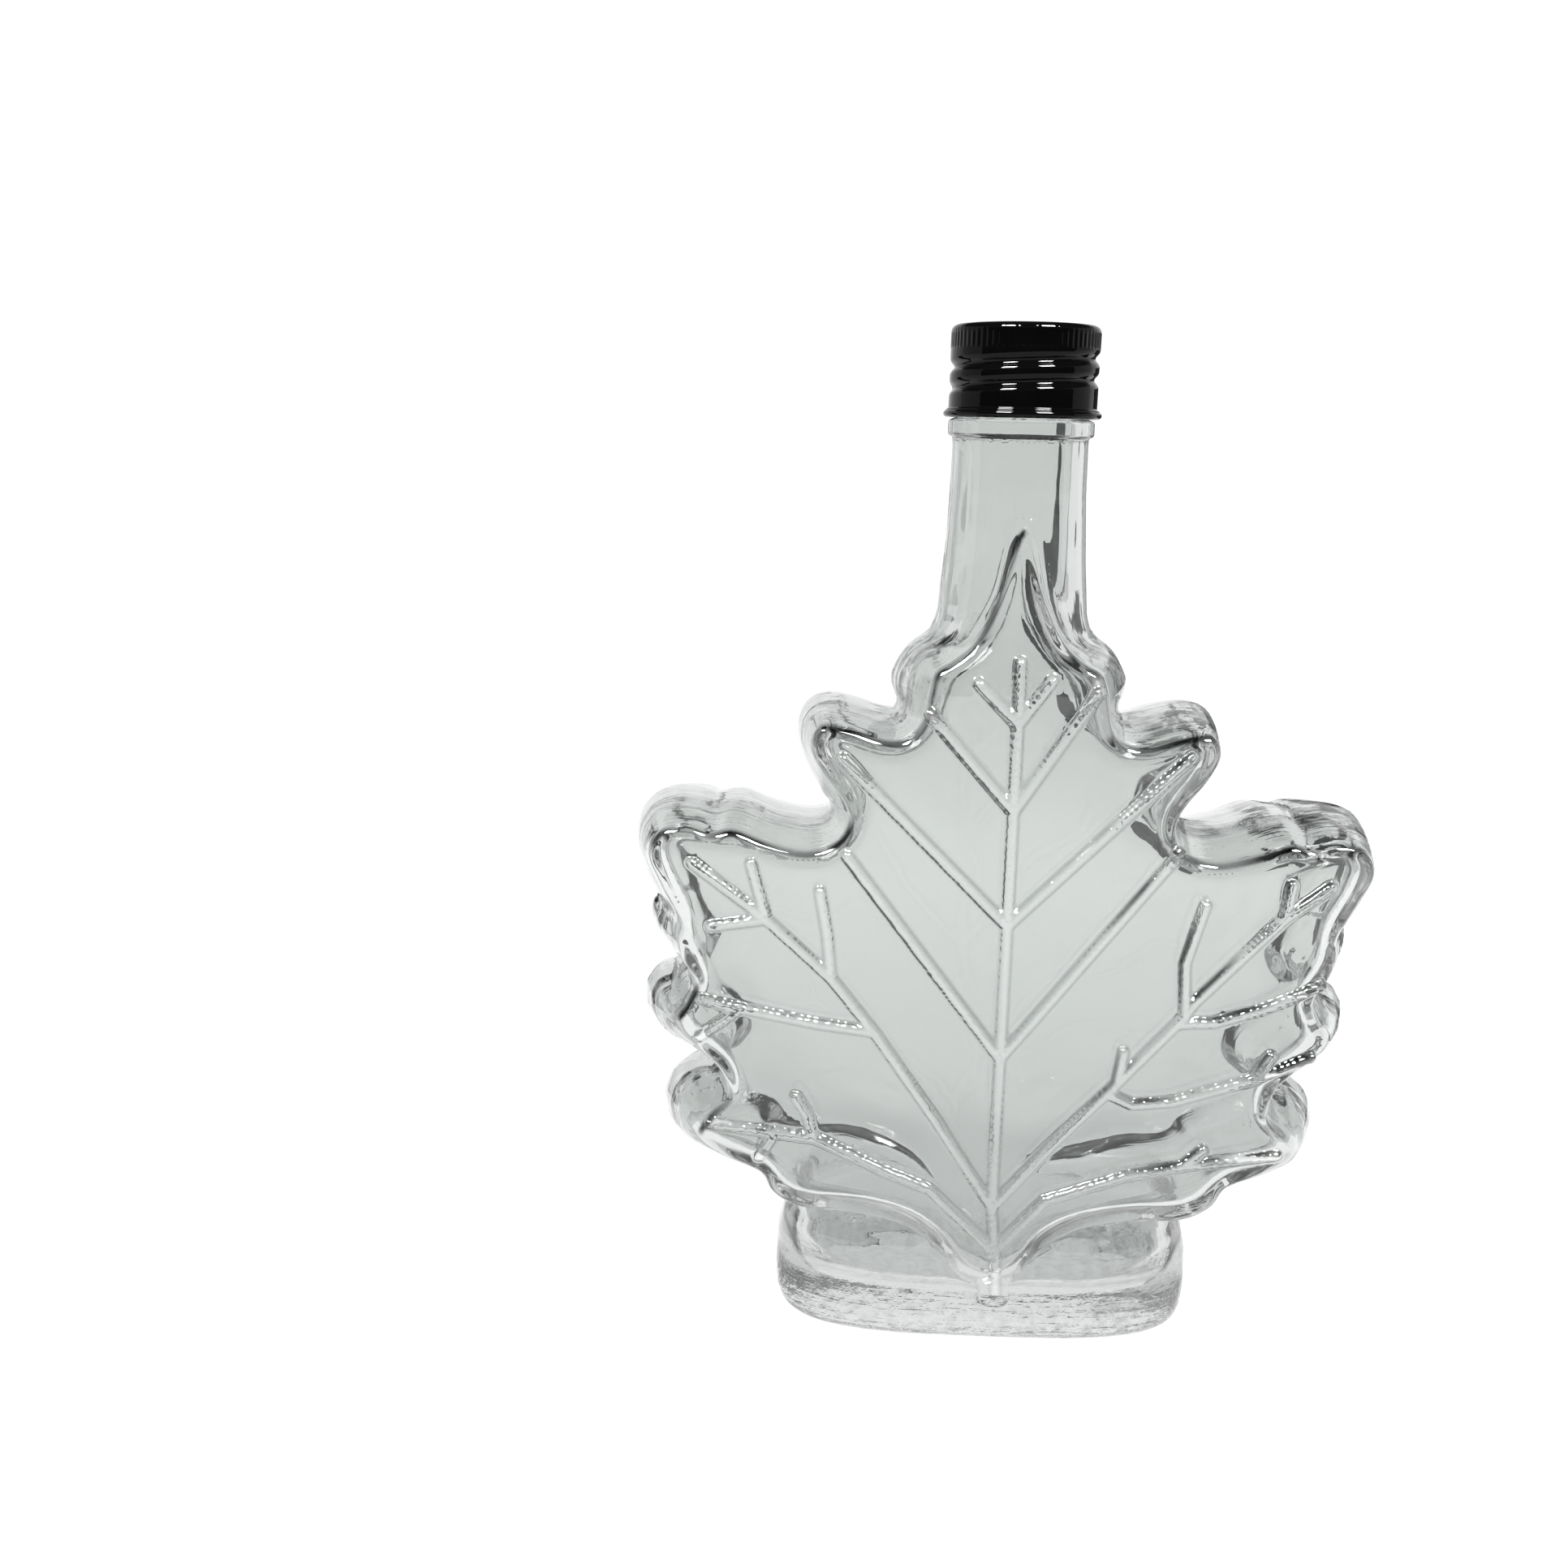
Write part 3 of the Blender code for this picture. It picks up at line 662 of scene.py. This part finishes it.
def clear_glass():
    finish = Finish("clear_blown_glass")
    place = finish.place()
    drift = finish.noise(place, 22.0, 1.0)
    waves = finish.noise(place, 70.0, 1.5)
    pits = finish.noise(place, 900.0, 2.0)
    mould_lines = finish.noise(finish.stretched(place, (14.0, 420.0, 14.0)), 1.0, 3.0, 0.6)
    low = finish.add("ShaderNodeSeparateXYZ", values={"Vector": place}, output="Z")
    # painted shade: the glass's tint is darkened by height, low down and round the upper lobes
    painted_height_shade = finish.add("ShaderNodeValToRGB", {"stops": [(height / 0.2, (share, share, share, 1)) for height, share in PAINTED_SHADE_BY_HEIGHT]},
                       {"Fac": 5.0 * low})
    # base colour: the glass's own tint, then painted shade, painted highlights and painted dark lines mixed in
    tint_and_painted_light = finish.mixed(drift, (0.725, 0.745, 0.732, 1), (0.775, 0.795, 0.784, 1))
    tint_and_painted_light = finish.mixed(painted_height_shade, tint_and_painted_light, (0.67, 0.69, 0.68, 1))
    # painted highlight: paler glass along each vein's top
    tint_and_painted_light = finish.mixed(finish.add("ShaderNodeAttribute", {"attribute_name": "vein_top"}, output="Fac"), tint_and_painted_light,
                        (0.95, 0.96, 0.955, 1))
    # painted shade: darker glass along both feet of each vein
    tint_and_painted_light = finish.mixed(finish.add("ShaderNodeAttribute", {"attribute_name": "vein_foot"}, output="Fac"), tint_and_painted_light,
                        (0.45, 0.47, 0.46, 1))
    heel = finish.add("ShaderNodeMapRange", values={"Value": low, "From Min": 0.015, "From Max": 0.009})
    tooled = finish.noise(finish.stretched(place, (70.0, 70.0, 900.0)), 1.0, 3.0, 0.6)
    grained = finish.noise(place, 420.0, 3.0, 0.6)
    body = finish.add("ShaderNodeMapRange", values={"Value": low, "From Min": 0.157, "From Max": 0.146})
    heel_marks = heel * (0.6 * tooled + grained)
    mottling = finish.add("ShaderNodeMapRange", values={"Value": grained, "From Min": 0.42, "From Max": 0.66})
    right = finish.add("ShaderNodeMapRange", values={
        "Value": finish.add("ShaderNodeSeparateXYZ", values={"Vector": place}, output="X"), "From Min": 0.004, "From Max": 0.028})
    tint_and_painted_light = finish.mixed(heel * mottling * (0.4 + 0.45 * right), tint_and_painted_light, (0.24, 0.25, 0.245, 1))
    # painted shade: near-black lines along the front edge and beside the right-hand veins
    tint_and_painted_light = finish.mixed(finish.add("ShaderNodeAttribute", {"attribute_name": "edge_line"}, output="Fac"), tint_and_painted_light,
                        (0.001, 0.001, 0.001, 1))
    finish.fill(finish.shader, {
        "Base Color": tint_and_painted_light,
        "Roughness": 0.004 + 0.02 * pits,
        "IOR": 1.52,
        "Transmission Weight": 1.0,
        "Normal": finish.bump(heel_marks, 0.0009, 0.5, finish.bump(body * mould_lines, 0.0003, 0.3,
                                                                    finish.bump(waves, 0.0006, 0.35))),
    })
    depth = finish.add("ShaderNodeVolumeAbsorption", values={"Color": (0.0, 0.0, 0.0, 1), "Density": GLASS_DENSITY})
    finish.tree.links.new(depth.socket, finish.tree.nodes["Material Output"].inputs["Volume"])
    return finish.material


def black_lacquer():
    finish = Finish("black_lacquer")
    place = finish.place()
    cloud = finish.noise(place, 140.0, 3.0)
    peel = finish.noise(place, 1300.0, 2.0)
    finish.fill(finish.shader, {
        "Base Color": finish.mixed(cloud, (0.0002, 0.0002, 0.0002, 1), (0.0006, 0.0006, 0.0006, 1)),
        "Roughness": 0.015 + 0.03 * cloud,
        "Specular IOR Level": 0.14,
        "Normal": finish.bump(peel, 0.00002, 0.3),
    })
    return finish.material


def floor_paint():
    finish = Finish("white_floor")
    cloud = finish.noise(finish.place(), 3.0, 2.0)
    finish.fill(finish.shader, {
        "Base Color": finish.mixed(cloud, (0.03, 0.03, 0.03, 1), (0.036, 0.036, 0.036, 1)),
        "Roughness": 0.9,
        "Specular IOR Level": 0.0,
        "Emission Color": (1.0, 1.0, 1.0, 1),
        "Emission Strength": FLOOR_GLOW,
    })
    return finish.material


# ---- stage, light and camera

def make_stage():
    """A pale floor that sweeps up into a backdrop."""
    run = [(-2.6, 0.0), (1.1, 0.0)]
    for turn in range(1, 13):
        angle = math.radians(turn * 7.5)
        run.append((1.1 + 0.8 * math.sin(angle), 0.8 - 0.8 * math.cos(angle)))
    run.append((1.9, 1.5))
    points = [(x, y, z) for y, z in run for x in (-3.5, 3.5)]
    faces = [(2 * i, 2 * i + 1, 2 * i + 3, 2 * i + 2) for i in range(len(run) - 1)]
    mesh = bpy.data.meshes.new("sweep")
    mesh.from_pydata(points, [], faces)
    mesh.shade_smooth()
    sweep = bpy.data.objects.new("sweep", mesh)
    bpy.context.scene.collection.objects.link(sweep)
    sweep.data.materials.append(floor_paint())


def make_light(name, place, target, size, power):
    lamp = bpy.data.lights.new(name, "AREA")
    lamp.shape = "RECTANGLE"
    lamp.size, lamp.size_y = size
    lamp.energy = power
    holder = bpy.data.objects.new(name, lamp)
    holder.location = place
    holder.rotation_euler = (Vector(target) - Vector(place)).to_track_quat("-Z", "Y").to_euler()
    bpy.context.scene.collection.objects.link(holder)
    return holder


# Black boards round the table, out of sight, that draw the dark lines in the glass and the cap:
# direction on the compass from the back and how wide, in degrees; how far off, and lower and upper edge
BOARDS = (
    ("board_front", 180.0, 150.0, 0.95, 0.0, 0.62),
    ("board_right", 54.0, 13.0, 0.21, 0.0, 0.10),
    ("board_neck", 35.0, 30.0, 0.42, 0.08, 0.23),
    ("board_left", -58.0, 12.0, 0.22, 0.0, 0.18),
)


def make_board(name, direction, spread, distance, low, high):
    turns = np.radians(np.linspace(direction - spread / 2, direction + spread / 2, 13))
    points = [(distance * math.sin(turn), distance * math.cos(turn), z) for turn in turns for z in (low, high)]
    faces = [(2 * i, 2 * i + 1, 2 * i + 3, 2 * i + 2) for i in range(len(turns) - 1)]
    mesh = bpy.data.meshes.new(name)
    mesh.from_pydata(points, [], faces)
    board = bpy.data.objects.new(name, mesh)
    bpy.context.scene.collection.objects.link(board)
    board.visible_camera = board.visible_diffuse = board.visible_shadow = False
    board.visible_transmission = name != "board_front"
    finish = Finish(name)
    finish.fill(finish.shader, {"Base Color": (0.01, 0.01, 0.01, 1), "Roughness": 0.9, "Specular IOR Level": 0.0})
    board.data.materials.append(finish.material)


def make_world():
    """A room that is pale round the table and dark overhead."""
    world = bpy.data.worlds.new("studio")
    bpy.context.scene.world = world
    world.use_nodes = True
    room = Nodes(world.node_tree)
    way = room.add("ShaderNodeTexCoord", output="Generated")
    height = room.add("ShaderNodeSeparateXYZ", values={"Vector": way}, output="Z")
    overhead = room.add("ShaderNodeMapRange", {"interpolation_type": "SMOOTHSTEP"},
                        {"Value": height, "From Min": CEILING_START, "From Max": CEILING_FULL})
    room.fill(world.node_tree.nodes["Background"], {"Color": ROOM_GREY * (1 - 0.96 * overhead)})


def make_camera():
    yaw, pitch, roll = (math.radians(a) for a in (CAMERA_TURN, CAMERA_PITCH, CAMERA_ROLL))
    forward = Vector((math.sin(yaw) * math.cos(pitch), math.cos(yaw) * math.cos(pitch), -math.sin(pitch)))
    level = Vector((math.cos(yaw), -math.sin(yaw), 0))
    plumb = forward.cross(level)
    right = math.cos(roll) * level + math.sin(roll) * plumb
    down = math.cos(roll) * plumb - math.sin(roll) * level
    data = bpy.data.cameras.new("camera")
    data.sensor_width = 36.0
    data.lens = 36.0 * FOCAL_PIXELS / PICTURE
    data.clip_start, data.clip_end = 0.01, 20.0
    camera = bpy.data.objects.new("camera", data)
    turned = Matrix((right, -down, -forward)).transposed().to_4x4()
    camera.matrix_world = Matrix.Translation(Vector(CAMERA_PLACE) * MM) @ turned
    bpy.context.scene.collection.objects.link(camera)
    bpy.context.scene.camera = camera


make_camera()
make_world()
make_stage()
for board in BOARDS:
    make_board(*board)
make_light("left_lamp", (-0.62, -0.80, 1.25), (0, 0, 0.12), (0.46, 0.36), 130.0)
make_light("right_lamp", (0.55, -0.80, 1.25), (0, 0, 0.12), (0.46, 0.36), 130.0)

bottle = make_bottle()
bottle.data.materials.append(clear_glass())
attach(bottle, "root")
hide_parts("bottle")

cap = make_cap()
cap.data.materials.append(black_lacquer())
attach(cap, "root")
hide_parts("cap")

bpy.context.scene.view_settings.view_transform = "Standard"
bpy.context.scene.cycles.max_bounces = 20
bpy.context.scene.cycles.glossy_bounces = 14
bpy.context.scene.cycles.transmission_bounces = 20
